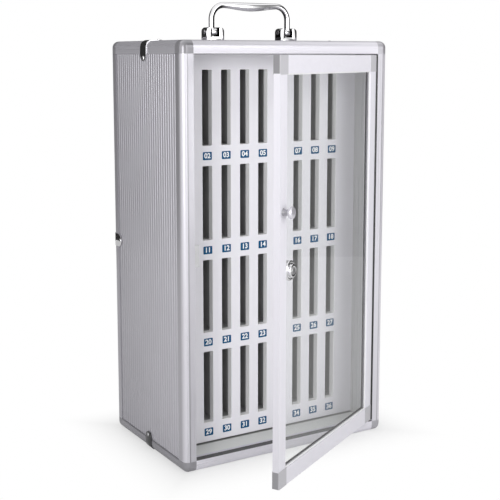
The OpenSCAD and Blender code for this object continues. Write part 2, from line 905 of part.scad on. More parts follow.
// The grip is a spindle whose top is level with the rod's.
module grip(half, zt) {
  n = 24;
  r1 = grip_t/2;
  r0 = 2*rod_r - r1;
  pts = [for (i = [0:n]) let (t = -1 + 2*i/n)
    [max(0.2, r0 + (r1 - r0)*(0.35*(1 - t*t) + 0.325*(1 + cos(180*t)))), half*t]];
  translate([0, handle_y, zt - r1]) rotate([0, 90, 0])
    rotate_extrude() polygon(concat([[0, -half]], pts, [[0, half]]));
}

module handle_plate_room(g = fit_gap) {
  w = bracket_span/2 + bracket_w/2 + 2;
  box([-w - g, handle_y - bracket_d/2 - 2 - g, izt - 1],
    [w + g, handle_y + bracket_d/2 + 2 + g, izt + plate_t + g]);
}

module backing_plate() {
  w = bracket_span/2 + bracket_w/2 + 2;
  difference() {
    box([-w, handle_y - bracket_d/2 - 2, izt], [w, handle_y + bracket_d/2 + 2, izt + plate_t]);
    handle_screw_set(run_gap);
  }
}

module handle_screw_set(g = 0) {
  for (s = [-1, 1]) for (t = [-1, 1])
    translate([s*bracket_span/2 + t*screw_x, handle_y, 0]) {
      translate([0, 0, izt - (g > 0 ? 1 : 0)])
        cylinder(r = 1.7 + g, h = case_h + 2.5 - izt + (g > 0 ? 1.5 : 0));
      translate([0, 0, izt - (g > 0 ? 1 : 0)])
        cylinder(r = 3.2 + g, h = screw_head_t + (g > 0 ? 1 : 0));
    }
}

// ---------- nodes ----------

module post_front_left() { satin() post(false, false); }
module post_front_right() { satin() post(true, false); }
module post_back_left() { satin() post(false, true); }
module post_back_right() { satin() post(true, true); }
module rail_top_front() { satin() rail_x(false, true); }
module rail_top_back() { satin() rail_x(true, true); }
module rail_top_left() { satin() rail_y(false, true); }
module rail_top_right() { satin() rail_y(true, true); }
module rail_bottom_front() { satin() rail_x(false, false); }
module rail_bottom_back() { satin() rail_x(true, false); }
module rail_bottom_left() { satin() rail_y(false, false); }
module rail_bottom_right() { satin() rail_y(true, false); }
module caps_top() { grey() corner_caps(true); }
module caps_bottom() { grey() corner_caps(false); }
module panel_left() { satin() side_panel(false); }
module panel_right() { satin() side_panel(true); }
module panel_back() { satin() back_panel(); }
module panel_top() { satin() top_panel(); }
module panel_bottom() { grey() bottom_panel(); }
module lining_left() { steel() side_lining(false); }
module lining_right() { steel() side_lining(true); }
module lining_back() { steel() back_lining(); }
module lining_top() { steel() top_lining(); }
module lining_floor() { color([0.70, 0.71, 0.69]) floor_lining(); }
module edge_clips() { chrome() for (s = [0, 1]) half_x(s == 1) clips_left(); }

module clip_rivets() {
  chrome() for (s = [0, 1]) half_x(s == 1) {
    top_clip_rivets();
    foot_clip_rivets();
    back_clip_rivets();
  }
}

module slot_strips() { color([0.83, 0.82, 0.86]) strips(); }
module slot_bars() { color([0.83, 0.82, 0.86]) bars(); }
module slot_labels() { color([0.06, 0.29, 0.46]) labels(); }
module shelves() { steel() shelf_set(); }
module dividers() { steel() divider_set(); }
module door_seal() { black() seal(); }

module hinge_leaf_case() {
  steel() difference() {
    leaf(1, leaf_w, 0);
    hinge_rivet_set(run_gap, true);
  }
}

module hinge_leaf_door() {
  steel() at_door() difference() {
    leaf(-1, door_t, 1);
    hinge_rivet_set(run_gap, false);
  }
}

module hinge_pin() {
  steel() translate([hx, hy, door_z0 - 0.5])
    cylinder(r = hinge_pin_r, h = door_z1 - door_z0 + 1);
}

module hinge_rivets_case() { steel() hinge_rivet_set(0, true); }
module hinge_rivets_door() { steel() at_door() hinge_rivet_set(0, false); }
module door_stile_free() { satin() at_door() stile(false); }
module door_stile_hinge() { satin() at_door() stile(true); }
module door_rail_top() { satin() at_door() door_rail(true); }
module door_rail_bottom() { satin() at_door() door_rail(false); }
module door_caps() { grey() at_door() door_corner_caps(); }
module door_pane() { color([0.8, 0.85, 0.86, 0.35]) at_door() pane(); }
module door_bead() { black() at_door() bead(); }
module knob() { chrome() at_door() door_knob(); }
module knob_screw() { steel() at_door() knob_fixing(); }
module lock_body() { chrome() at_door() lock_shell(); }
module lock_nut() { steel() at_door() nut(); }
module lock_plug() { steel() at_door() plug(); }
module lock_cam() { steel() at_door() cam(); }
module cam_screw() { steel() at_door() cam_fixing(); }
module lock_catch() { steel() catch_plate(); }
module catch_screws() { steel() catch_screw_set(); }
module handle_bow() { chrome() bow(); }
module handle_brackets() { chrome() bracket_pair(); }
module handle_pins() { steel() pin_pair(); }
module handle_plate() { steel() backing_plate(); }
module handle_screws() { steel() handle_screw_set(); }

post_front_left();
post_front_right();
post_back_left();
post_back_right();
rail_top_front();
rail_top_back();
rail_top_left();
rail_top_right();
rail_bottom_front();
rail_bottom_back();
rail_bottom_left();
rail_bottom_right();
caps_top();
caps_bottom();
panel_left();
panel_right();
panel_back();
panel_top();
panel_bottom();
lining_left();
lining_right();
lining_back();
lining_top();
lining_floor();
edge_clips();
clip_rivets();
slot_strips();
slot_bars();
slot_labels();
shelves();
dividers();
door_seal();
hinge_leaf_case();
hinge_leaf_door();
hinge_pin();
hinge_rivets_case();
hinge_rivets_door();
door_stile_free();
door_stile_hinge();
door_rail_top();
door_rail_bottom();
door_caps();
door_pane();
door_bead();
knob();
knob_screw();
lock_body();
lock_nut();
lock_plug();
lock_cam();
cam_screw();
lock_catch();
catch_screws();
handle_bow();
handle_brackets();
handle_pins();
handle_plate();
handle_screws();
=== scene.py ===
# %% [markdown]
# # A locker with numbered slots
#
# This lesson dresses a finished construction model: an upright case with edge profiles, a glazed door and
# a slotted panel inside. The solids come in as a fixed frame, in metres, with their joints. Here they get
# their finishes, and a few pieces are modelled again with softer, rounder forms.

# %% Load the solids
import math

import bpy
from mathutils import Matrix, Vector


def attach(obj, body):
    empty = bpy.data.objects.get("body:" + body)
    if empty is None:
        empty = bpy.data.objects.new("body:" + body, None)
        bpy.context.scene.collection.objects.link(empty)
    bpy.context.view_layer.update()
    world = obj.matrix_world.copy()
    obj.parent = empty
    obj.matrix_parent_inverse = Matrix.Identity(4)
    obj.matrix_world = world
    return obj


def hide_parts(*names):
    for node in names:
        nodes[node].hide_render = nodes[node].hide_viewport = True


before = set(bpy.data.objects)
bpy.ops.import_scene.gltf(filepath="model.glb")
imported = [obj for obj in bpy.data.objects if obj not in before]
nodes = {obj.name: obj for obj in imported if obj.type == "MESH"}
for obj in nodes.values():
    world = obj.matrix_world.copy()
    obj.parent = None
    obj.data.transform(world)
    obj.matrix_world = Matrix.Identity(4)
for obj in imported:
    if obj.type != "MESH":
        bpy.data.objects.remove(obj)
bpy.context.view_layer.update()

MM = 0.001

# %% Measures of the solids, in millimetres and degrees
HALF_WIDE, HALF_DEEP, TALL, EDGE_R = 144.0, 96.0, 500.0, 8.0
HINGE_X, HINGE_Y, DOOR_OPEN = 126.8, -96.0, 29.3
KNOB_X, KNOB_Z = -119.5, 320.0
LOCK_X, LOCK_Z = -99.8, 254.0
BRACKET_X, HANDLE_Y, PIN_Z = 52.9, -4.0, 511.0
ROD, BEND, LEG_X, BOW_TOP = 3.5, 17.0, 54.6, 547.0
BEND_X, BEND_Z = LEG_X - BEND, BOW_TOP - ROD - BEND

# Finishes for the open door read coordinates that are turned back by its angle.
# In those, its front is a plane.
DOOR_TURN = math.radians(DOOR_OPEN)
TURNED_HINGE = HINGE_X * math.cos(DOOR_TURN) + HINGE_Y * math.sin(DOOR_TURN)
DOOR_FRONT = HINGE_Y * math.cos(DOOR_TURN) - HINGE_X * math.sin(DOOR_TURN)
print("front of the door at", round(DOOR_FRONT, 2), "mm in turned coordinates")

# %% [markdown]
# ## Camera
#
# The photograph shows the case from the front left, from about the height of its top. A long lens keeps the
# uprights nearly parallel. The camera looks a little down, and a small lens shift does the rest.

# %% Camera
CAMERA_PLACE = Vector((-0.66908, -1.10893, 0.48163))
CAMERA_YAW, CAMERA_PITCH = math.radians(31.193), math.radians(7.953)
SENSOR = 36.0
FOCAL_PIXELS, PICTURE_PIXELS = 1028.17, 500
camera_data = bpy.data.cameras.new("camera")
camera_data.sensor_width = SENSOR
camera_data.lens = FOCAL_PIXELS / PICTURE_PIXELS * SENSOR
camera_data.shift_y = -0.1
camera = bpy.data.objects.new("camera", camera_data)
bpy.context.scene.collection.objects.link(camera)
camera.location = CAMERA_PLACE
camera.rotation_euler = (math.radians(90) - CAMERA_PITCH, 0, -CAMERA_YAW)
bpy.context.scene.camera = camera
bpy.context.scene.view_settings.view_transform = "Standard"
print("camera at", tuple(CAMERA_PLACE), "lens", round(camera_data.lens, 1))

# %% [markdown]
# ## Writing a finish as a sum
#
# A shader is a graph of nodes, but most of it is plain arithmetic. `Value` wraps a socket so that Python's
# own signs add the maths nodes, and `Finish` makes every other node with one method.

# %% Sockets as numbers
class Value:
    def __init__(self, finish, socket):
        self.finish, self.socket = finish, socket

    def maths(self, operation, a, b=None, clamp=False):
        values = {0: a} if b is None else {0: a, 1: b}
        return self.finish.node("ShaderNodeMath", {"operation": operation, "use_clamp": clamp}, values)

    def __add__(self, other):
        return self.maths("ADD", self, other)

    def __sub__(self, other):
        return self.maths("SUBTRACT", self, other)

    def __rsub__(self, other):
        return self.maths("SUBTRACT", other, self)

    def __mul__(self, other):
        return self.maths("MULTIPLY", self, other)

    def __truediv__(self, other):
        return self.maths("DIVIDE", self, other)

    def __pow__(self, other):
        return self.maths("POWER", self, other)

    def above(self, level):
        return self.maths("GREATER_THAN", self, level)

    def size(self):
        return self.maths("ABSOLUTE", self)

    def clamped(self):
        return self.maths("ADD", self, 0.0, True)

    __radd__ = __add__
    __rmul__ = __mul__


# %% Materials and worlds
class Finish:
    """A node tree that is filled one node at a time."""

    def __init__(self, name, owner=None):
        self.owner = owner or bpy.data.materials.new(name)
        self.owner.use_nodes = True
        self.tree = self.owner.node_tree
        self.tree.nodes.clear()

    def node(self, kind, settings=None, values=None, out=0):
        """Adds a node with its settings and inputs, and gives back one of its outputs."""
        made = self.tree.nodes.new(kind)
        for key, value in (settings or {}).items():
            setattr(made, key, value)
        for key, value in (values or {}).items():
            if isinstance(value, Value):
                self.tree.links.new(value.socket, made.inputs[key])
            else:
                made.inputs[key].default_value = value
        return Value(self, made.outputs[out])

    def place(self, turn=0.0, stretch=(1, 1, 1)):
        """Object coordinates, turned about Z by some degrees and then stretched."""
        at = self.node("ShaderNodeTexCoord", out="Object")
        return self.node("ShaderNodeMapping", {"vector_type": "POINT"},
                         {"Vector": at, "Rotation": (0, 0, math.radians(turn)), "Scale": stretch})

    def split(self, vector):
        """The three parts of a vector as numbers."""
        first = self.node("ShaderNodeSeparateXYZ", None, {0: vector})
        return [Value(self, part) for part in first.socket.node.outputs]

    def axes(self, turn=0.0):
        """The three object coordinates, in metres."""
        return self.split(self.place(turn))

    def line(self, at, middle, half):
        """1 on a line at `middle` millimetres that fades to 0 at `half` millimetres to either side."""
        return (1.0 - (at - middle * MM).size() / (half * MM)).clamped()

    def darker(self, colour, shade_and_tone):
        """The colour, darkened by what a function says of each place; mostly that is painted light and shade.
        """
        return self.mix(shade_and_tone(self).clamped(), colour, grey(0.0)) if shade_and_tone else colour

    def noise(self, vector, scale, detail=2.0, rough=0.5):
        return self.node("ShaderNodeTexNoise", None,
                         {"Vector": vector, "Scale": scale, "Detail": detail, "Roughness": rough})

    def mix(self, share, a, b):
        return self.node("ShaderNodeMix", {"data_type": "RGBA"}, {0: share, 6: a, 7: b}, out=2)

    def bump(self, height, depth):
        """A height from 0 to 1 as relief that is `depth` millimetres deep, at half its strength."""
        return self.node("ShaderNodeBump", None, {"Height": height, "Distance": depth * MM, "Strength": 0.5})

    def shader(self, **values):
        renamed = {key.replace("_", " "): value for key, value in values.items()}
        return self.node("ShaderNodeBsdfPrincipled", None, renamed)

    def show(self, shader):
        """Makes a shader the tree's result and gives back the material or world."""
        end = self.tree.nodes.new("ShaderNodeOutputWorld" if isinstance(self.owner, bpy.types.World)
                                  else "ShaderNodeOutputMaterial")
        self.tree.links.new(shader.socket, end.inputs["Surface"])
        return self.owner


def grey(level, blue=0.0):
    """A grey as a colour, with a little more blue and less green if asked."""
    return (level, level * (1 - blue * 0.35), level * (1 + blue), 1)


# %% [markdown]
# ## Studio
#
# The picture is a bright catalogue view: white all round, the front lit from the right, and the left side
# one step darker. The world gives an even base. What polished metal mirrors is white in front, at the left
# and above, and dark behind and at the right, as in a studio with a black flag. That dark field draws the
# black lines along the edges of chrome. The floor is white to the camera but keeps a shadow, and it is small
# enough for level reflections to pass over it.

# %% World
world = bpy.data.worlds.new("studio")
bpy.context.scene.world = world
sky = Finish("studio", world)
SKY_LIGHT, FLAG_TONE = 0.50, 0.03
FLAG_WAY = (0.588, 0.809)  # the black flag stands behind and to the right
across, depth, height = sky.split(sky.node("ShaderNodeTexCoord", out="Generated"))
behind = ((across * FLAG_WAY[0] + depth * FLAG_WAY[1] + 0.34) / 0.14).clamped()
low = ((0.80 - height) / 0.25).clamped()
mirrored = sky.mix(behind * low, grey(1.0), grey(FLAG_TONE))
camera_ray = sky.node("ShaderNodeLightPath", out="Is Camera Ray")
glossy_ray = sky.node("ShaderNodeLightPath", out="Is Glossy Ray")
through_ray = sky.node("ShaderNodeLightPath", out="Is Transmission Ray")
seen = sky.mix(glossy_ray, grey(SKY_LIGHT), mirrored)
seen = sky.mix((camera_ray + through_ray).clamped(), seen, grey(1.0))
sky.show(sky.node("ShaderNodeBackground", None, {"Color": seen, "Strength": 1.0}))
print("world:", len(sky.tree.nodes), "nodes")

# %% Lamps
def lamp(name, place, aim, size, power):
    """A square lamp at a place, turned to what it lights, with its size in metres and power in watts."""
    data = bpy.data.lights.new(name, "AREA")
    data.size, data.energy = size, power
    made = bpy.data.objects.new(name, data)
    bpy.context.scene.collection.objects.link(made)
    made.location = place
    made.rotation_euler = (Vector(aim) - Vector(place)).to_track_quat("-Z", "Y").to_euler()
    made.visible_camera = False
    return made


CENTRE = Vector((0, 0, TALL / 2 * MM))
lamp("key_lamp", (0.30, -1.5, 0.62), CENTRE, 1.1, 10.5)
lamp("fill_lamp", (-1.7, -1.5, 0.6), CENTRE, 1.0, 15.0)
back_lamp = lamp("back_lamp", (0.5, 2.3, 1.0), CENTRE, 1.2, 10.0)
back_lamp.visible_glossy = False
print("3 lamps")

# %% Floor
FLOOR_SIZE, FLOOR_DROP = 2.6, 0.0002
SHADOW_REACH, SHADOW_DEPTH = 0.07, 0.42
bpy.ops.object.select_all(action="DESELECT")
bpy.ops.mesh.primitive_plane_add(size=FLOOR_SIZE, location=(0, 0, -FLOOR_DROP))
floor = bpy.context.object
floor.name = "floor"
stone = Finish("floor_white")
spot_x, spot_y, _ = stone.axes()
beside = spot_x.size() - HALF_WIDE * MM
before = spot_y.size() - HALF_DEEP * MM
away = stone.node("ShaderNodeMath", {"operation": "MAXIMUM"}, {0: beside, 1: before})
near = (1.0 - away / SHADOW_REACH).clamped() ** 2.0
camera_ray = stone.node("ShaderNodeLightPath", out="Is Camera Ray")
plain = stone.node("ShaderNodeBsdfDiffuse", None, {"Color": grey(0.88)})
white = stone.node("ShaderNodeEmission", None, {"Color": grey(1.0), "Strength": 1.0})
share = camera_ray * (1.0 - near * SHADOW_DEPTH)
seen = stone.node("ShaderNodeMixShader", None, {0: share, 1: plain, 2: white})
floor.data.materials.append(stone.show(seen))
print("floor", tuple(floor.dimensions))

# %% [markdown]
# ## Finishes
#
# Most of the case is satin aluminium: profiles with fine lines drawn along their length, and rolled sheet.
# The lines are a noise that is squeezed across the profile and stretched along it, so one helper makes all
# of them and takes the direction. A slow noise adds the faint unevenness of an anodised surface. A finish may
# also take a function that says from the place how much darker the metal is there. Mostly that is painted
# light: painted highlights on rounded edges, painted shade on sides and towards the foot, and painted dark
# reflections on chrome. The rest is dark joints and straps that are darker near the foot.

# %% Satin aluminium
LINE_FINE, LINE_LONG, LINE_DEEP = 900, 8, 0.04  # across and along the metal, and in millimetres
CLOUD_SIZE = 0.22


def satin(name, along, tint=0.70, turn=0.0, rough=0.30, metal=0.45, shade_and_tone=None, blue=0.055):
    """Aluminium with fine lines along one axis, on coordinates that may be turned about Z."""
    finish = Finish(name)
    stretch = [LINE_LONG if axis == along else LINE_FINE for axis in "xyz"]
    lines = finish.noise(finish.place(turn, stretch), 1.0, 3.0, 0.6)
    cloud = finish.noise(finish.place(turn, [part * CLOUD_SIZE for part in stretch]), 1.0, 2.0)
    tone = lines * 0.28 + cloud * 0.30 + 0.21
    colour = finish.mix(tone.clamped(), grey(tint * 0.84, blue), grey(min(1.0, tint * 1.14), blue))
    colour = finish.darker(colour, shade_and_tone)
    roughness = lines * 0.16 + cloud * 0.08 + (rough - 0.12)
    normal = finish.bump(lines, LINE_DEEP)
    return finish.show(finish.shader(Base_Color=colour, Metallic=metal, Roughness=roughness, Normal=normal))


def into_edge(at, face):
    """0 to 1 across the rounded edge that ends at a face, which is given in millimetres."""
    return ((at.size() - (face - EDGE_R) * MM) / (EDGE_R * MM)).clamped()


# %% Painted light and shade on the metal, and a dark joint
def post_painted_light(finish):
    """Painted light: a painted highlight on the rounded edge; painted shade on the sides, on the left posts,
    higher up and on the front towards the foot; and a painted dark line beside the round.
    """
    x, y, z = finish.axes()
    side, front = into_edge(x, HALF_WIDE), into_edge(y, HALF_DEEP)
    groove = finish.line(x.size(), 136.7, 1.3) * front.above(0.98)
    left = 1.0 - x.above(0.0)
    face = left * 0.14 + side * 0.28 - side * front * 0.62 + front * (0.2 - z * 0.4)
    return face + groove * 0.42 + (z - 0.25).clamped() * 0.4


def rail_painted_highlights(finish):
    """A painted highlight along the upper edge of the foot rails, and painted light that makes the top rails
    lighter to the right and darker to the left.
    """
    x, y, z = finish.axes()
    edge_highlight = finish.line(z, 13.4, 1.1) * y.size().above(0.087)
    return 0.14 - edge_highlight * 0.4 - (z - 0.25).clamped() * x * 4.6


def knob_stem_shade(finish):
    """Painted shade on the knob's stem, under its head."""
    _, y, _ = finish.axes(-DOOR_OPEN)
    return y.above((DOOR_FRONT - 6.23) * MM) * 0.5


def side_rail_shade_and_joint(finish):
    """The rails along the foot are painted greyer, a painted shade, with a dark joint above them."""
    _, _, z = finish.axes()
    return 0.54 - z * 1.12 + finish.line(z, 12.8, 0.9) * 0.25


def door_painted_shade(finish):
    """Painted shade that makes the door greyer towards the foot."""
    _, _, z = finish.axes()
    return 0.22 - z * 0.46


# %% The satin finishes
PROFILE_Z = satin("profile_upright", "z", 0.79, metal=0.3, shade_and_tone=post_painted_light)
PROFILE_X = satin("profile_side_to_side", "x", 0.84, metal=0.3, shade_and_tone=rail_painted_highlights)
PROFILE_Y = satin("profile_front_to_back", "y", 0.78, shade_and_tone=side_rail_shade_and_joint)
DOOR_Z = satin("door_profile_upright", "z", 0.96, 0.0, 0.32, 0.05, door_painted_shade)
DOOR_X = satin("door_profile_level", "x", 0.97, -DOOR_OPEN, 0.32, 0.05, door_painted_shade)
KNOB = satin("knob_satin", "y", 0.76, -DOOR_OPEN, 0.30, 0.6, knob_stem_shade)
FOIL = satin("lining_foil", "z", 0.60, 0.0, 0.30, 0.4, blue=0.0)
TOP_SHEET = satin("top_sheet", "x", 0.58, 0.0, 0.38, 0.5)
print("8 satin finishes")

# %% [markdown]
# The outer sheets are rolled with fine ribs, 5.9 mm apart. The ribs themselves are in the solid. The tone is
# darker in the grooves between them, so it follows the same spacing. The fraction of the distance, measured
# from a groove's middle, says how far a point is from the next rib. The sheet is also painted lighter
# towards one end and towards its top, which is painted light.

# %% Ribbed sheet
RIB_PITCH = 5.9


def ribbed(name, axis, first):
    """Sheet with upright ribs; the first rib's middle lies at `first` millimetres on the given axis."""
    finish = Finish(name)
    axes = finish.axes()
    at, z = axes[axis], axes[2]
    turns = (at - (first - RIB_PITCH / 2) * MM) / (RIB_PITCH * MM)
    beyond = finish.node("ShaderNodeMath", {"operation": "FRACT"}, {0: turns}) - 0.5
    groove = ((beyond.size() - 0.24) / 0.08).clamped()
    lines = finish.noise(finish.place(0.0, (LINE_FINE, LINE_FINE, LINE_LONG)), 1.0, 3.0, 0.6)
    cloud = finish.noise(finish.place(), 10.0, 2.0)
    front = (0.5 - at / (2 * HALF_DEEP * MM)).clamped()
    # Painted light: the tone rises towards the front (on the back sheet, towards the left) and towards the
    # top. It is darker in the grooves.
    tone = (lines * 0.16 + cloud * 0.20 + front * 0.42 + z * 0.8 + 0.05 - groove * 0.22).clamped()
    colour = finish.mix(tone, grey(0.37, 0.055), grey(0.69, 0.055))
    roughness = lines * 0.14 + groove * 0.10 + 0.30
    return finish.show(finish.shader(Base_Color=colour, Metallic=0.45, Roughness=roughness,
                                     Normal=finish.bump(lines, LINE_DEEP)))


RIB_SIDE = ribbed("ribbed_side_sheet", 1, -76.7)
RIB_BACK = ribbed("ribbed_back_sheet", 0, -123.9)
print("ribs every", RIB_PITCH, "mm")

# %% [markdown]
# Painted and plastic surfaces differ in grain and gloss. One helper mixes two tones of a colour with a fine
# and a slow noise, and lets the fine one lift the surface a few hundredths of a millimetre. The corner caps
# are cast metal under grey lacquer, which mirrors more than it scatters.

# %% Painted and cast surfaces
def painted(name, colour, rough=0.5, grain=900.0, depth=0.03, spread=0.12, metal=0.0, shine=0.5, shade_and_tone=None):
    """A colour that varies by `spread`, with a grain that lifts the surface by `depth` millimetres."""
    finish = Finish(name)
    fine = finish.noise(finish.place(), grain, 2.0)
    cloud = finish.noise(finish.place(), 18.0, 2.0)
    tone = fine * spread + cloud * spread
    colour = finish.darker(finish.mix(tone, colour, [c * 0.6 for c in colour[:3]] + [1]), shade_and_tone)
    roughness, normal = cloud * 0.12 + (rough - 0.03), finish.bump(fine, depth)
    return finish.show(finish.shader(Base_Color=colour, Roughness=roughness, Metallic=metal,
                                     Specular_IOR_Level=shine, Normal=normal))


def floor_painted_shade(finish):
    """Painted shade that darkens the floor towards the back, and a painted shadow at the foot of the slot
    panel.
    """
    _, y, _ = finish.axes()
    return (y + 0.076) / 0.06 * 0.36 + ((y + 0.0535) / 0.002).clamped() * 0.6


def cap_painted_light(finish):
    """Painted light: the caps at the foot are painted darker than those at the top, the left ones more, and
    the top left ones are painted darker on their front.
    """
    x, y, z = finish.axes()
    top, right, front = z.above(0.3), x.above(0.1), into_edge(y, HALF_DEEP)
    return (1.0 - top) * (0.45 - right * 0.15) + top * (1.0 - right) * front * 0.70


def door_cap_painted_light(finish):
    """Painted light: the cap's narrow face is painted darker than its broad one, and the broad one greyer
    towards the foot.
    """
    _, y, z = finish.axes(-DOOR_OPEN)
    narrow = ((y - (DOOR_FRONT + 0.57) * MM) / (0.6 * MM)).clamped()
    return narrow * 0.54 + (1.0 - narrow) * (0.28 - z * 0.6).clamped()


# %% The painted finishes
CAP_GREY = painted("cap_grey", grey(0.66, 0.05), 0.26, 700.0, 0.01, 0.12, 0.6, shade_and_tone=cap_painted_light)
DOOR_CAP = painted("door_cap_grey", grey(0.68, 0.04), 0.3, 700.0, 0.01, 0.10, 0.1, shade_and_tone=door_cap_painted_light)
SLOT_GREY = painted("slot_panel_grey", (0.825, 0.81, 0.86, 1), 0.6)
# The lipping is much whiter than the board: partly its own colour, partly painted light on the slots' lit
# walls.
SLOT_EDGE = painted("slot_edge_white", (0.97, 0.965, 0.975, 1), 0.45)
FLOOR_GREY = painted("floor_grey", (0.82, 0.83, 0.81, 1), 0.5, shade_and_tone=floor_painted_shade)
INNER_GREY = painted("inner_grey", grey(0.46), 0.55)
LABEL_NAVY = painted("label_navy", (0.001, 0.082, 0.205, 1), 0.5, 400.0, 0.01, 0.16, shine=0.2)
LABEL_INK = painted("label_white", grey(0.95), 0.5, 400.0, 0.01)
SEAL = painted("seal_grey", grey(0.10), 0.6)
print("9 painted finishes")

# %% [markdown]
# Polished chrome is almost only mirror. A slow, faint change of roughness stands for finger marks. Zinc
# plated steel is the same idea, duller and with a patchy, crystalline tone.

# %% Chrome and steel
FLAKE = 700.0


def bright(name, tint, rough, spread, patches=0.0, shade_and_tone=None):
    """Polished or plated metal, with roughness from `rough` upwards by `spread`."""
    finish = Finish(name)
    smear = finish.noise(finish.place(), 60.0, 3.0)
    flake = finish.node("ShaderNodeTexVoronoi", None, {"Vector": finish.place(), "Scale": FLAKE},
                        out="Distance")
    tone = (smear * 0.5 + flake * patches).clamped()
    colour = finish.darker(finish.mix(tone, grey(tint, 0.01), grey(tint * 0.86, 0.02)), shade_and_tone)
    return finish.show(finish.shader(Base_Color=colour, Metallic=1.0, Roughness=smear * spread + rough))


def bow_shade_and_reflection(finish):
    """Painted shade on the ends of the bow's feet, inside the bracket slots, and a painted dark reflection on
    the inner side of the rod at the bends.
    """
    x, _, z = finish.axes()
    foot_end_shade = (x.size() - BRACKET_X * MM).size().above(3.4 * MM) * (0.5155 - z).above(0.0)
    out, up = (x.size() - BEND_X * MM).clamped(), (z - BEND_Z * MM).clamped()
    reach = (out * out + up * up) ** 0.5
    inner = ((0.0178 - x.above(0.0) * 0.0030 - reach) / 0.0006).clamped()
    bend = ((x.size() - 0.030) / 0.012).clamped() * z.above(0.5158)
    return foot_end_shade * 0.97 + inner * bend * 0.95


def foot_strap_darkening(finish):
    """The straps near the foot are darker, but not the rivets that stand out from them."""
    x, _, z = finish.axes()
    rivets = x.size().above((HALF_WIDE + 1.1) * MM)
    return (1.0 - z.above(0.16)) * (0.86 - rivets * 0.5)


def lock_painted_reflection(finish):
    """Two painted dark reflections, as rings round the lock's axis."""
    x, _, z = finish.axes(-DOOR_OPEN)
    across, up = x - (TURNED_HINGE + LOCK_X - HINGE_X) * MM, z - LOCK_Z * MM
    radius = (across * across + up * up) ** 0.5
    return (finish.line(radius, 9.4, 0.6) + finish.line(radius, 5.8, 0.6)) * 0.85


def bracket_shade_and_reflection(finish):
    """Painted shade in the slots, and a painted dark reflection on the sides that face the middle."""
    x, _, z = finish.axes()
    inside = (5.7 * MM - (x.size() - BRACKET_X * MM).size()).above(0.0) * z.above(0.5052)
    return inside * 0.88 + ((BRACKET_X - 11.8) * MM - x.size()).above(0.0) * 0.9


# %% The bright finishes
CHROME = bright("polished_chrome", 0.92, 0.03, 0.06)
BOW_CHROME = bright("bow_chrome", 0.92, 0.03, 0.06, shade_and_tone=bow_shade_and_reflection)
STRAP_CHROME = bright("strap_chrome", 0.90, 0.05, 0.08, shade_and_tone=foot_strap_darkening)
LOCK_CHROME = bright("lock_chrome", 0.92, 0.03, 0.06, shade_and_tone=lock_painted_reflection)
BRACKET_CHROME = bright("bracket_chrome", 0.92, 0.03, 0.06, shade_and_tone=bracket_shade_and_reflection)
ZINC = bright("zinc_steel", 0.62, 0.28, 0.16, 0.6)
# The hinge is painted nearly black, a painted shade for the deep gap between the door and the post.
HINGE_SHADE = bright("hinge_painted_shade", 0.06, 0.35, 0.16, 0.6)


def bead_finish():
    """The bead behind the pane is black and the one before it is bare metal."""
    finish = Finish("pane_bead")
    _, y, _ = finish.axes(-DOOR_OPEN)
    behind_pane = y.above((DOOR_FRONT + 3.9) * MM)
    fine = finish.noise(finish.place(), 900.0)
    colour = finish.mix(behind_pane, grey(0.90, 0.01), grey(0.02))
    colour = finish.mix(fine * 0.1, colour, grey(0.2))
    return finish.show(finish.shader(Base_Color=colour, Roughness=fine * 0.1 + 0.45))


BEAD = bead_finish()

# %% [markdown]
# The pane is clear, with the faint haze of a sheet that is wiped often. Haze scatters a few hundredths of the
# light that falls on it, which is a little of a white diffuse shader.

# %% Pane
def clear_pane():
    """Clear sheet with haze, denser towards the foot, and gloss on its front alone."""
    finish = Finish("clear_pane")
    film = finish.noise(finish.place(), 9.0, 2.0)
    clear = finish.node("ShaderNodeBsdfTransparent", None, {"Color": (0.975, 0.98, 0.977, 1)})
    dust = finish.node("ShaderNodeBsdfDiffuse", None, {"Color": grey(0.9)})
    _, _, z = finish.axes()
    haze = film * 0.02 + (0.05 - z * 0.07)
    clear = finish.node("ShaderNodeMixShader", None, {0: haze, 1: clear, 2: dust})
    gloss = finish.node("ShaderNodeBsdfGlossy", None, {"Color": grey(1.0), "Roughness": 0.02})
    edge = finish.node("ShaderNodeFresnel", None, {"IOR": 1.2})
    front = 1.0 - finish.node("ShaderNodeNewGeometry", out="Backfacing")
    share = ((edge + film * 0.01) * front).clamped()
    return finish.show(finish.node("ShaderNodeMixShader", None, {0: share, 1: clear, 2: gloss}))


PANE = clear_pane()
print("7 bright finishes, the bead and the pane")

# %% [markdown]
# ## Modelling by hand
#
# Some pieces are modelled again, because softened edges and true round forms are what catches the light. All
# of it is done with Blender's own operators. These few helpers add a block between two corners, select
# edges or faces by their place, apply a modifier, and put a piece's place into its mesh.

# %% Helpers for modelling
import bmesh


def only(piece):
    """Leaves nothing but this piece selected, in object mode."""
    if bpy.context.object and bpy.context.object.mode != "OBJECT":
        bpy.ops.object.mode_set(mode="OBJECT")
    bpy.ops.object.select_all(action="DESELECT")
    if piece:
        piece.select_set(True)
        bpy.context.view_layer.objects.active = piece


def mm(x, y, z):
    """A place or a step that is given in millimetres."""
    return x * MM, y * MM, z * MM


def shift(x, y, z):
    """A matrix that moves by a step in millimetres."""
    return Matrix.Translation(mm(x, y, z))


def half_turn(axis):
    """A matrix that turns by 180 degrees about a main axis."""
    return Matrix.Rotation(math.radians(180), 4, axis)


def settle(piece, move=Matrix.Identity(4)):
    """Moves a piece by a matrix and puts its place into its mesh."""
    piece.matrix_basis = move @ piece.matrix_basis
    only(piece)
    bpy.ops.object.transform_apply(location=True, rotation=True, scale=True)
    return piece


def block(low, high):
    """A cube between two corners in millimetres."""
    only(None)
    bpy.ops.mesh.primitive_cube_add(size=1, location=[(a + b) / 2 * MM for a, b in zip(low, high)])
    bpy.context.object.scale = [(b - a) * MM for a, b in zip(low, high)]
    return settle(bpy.context.object)


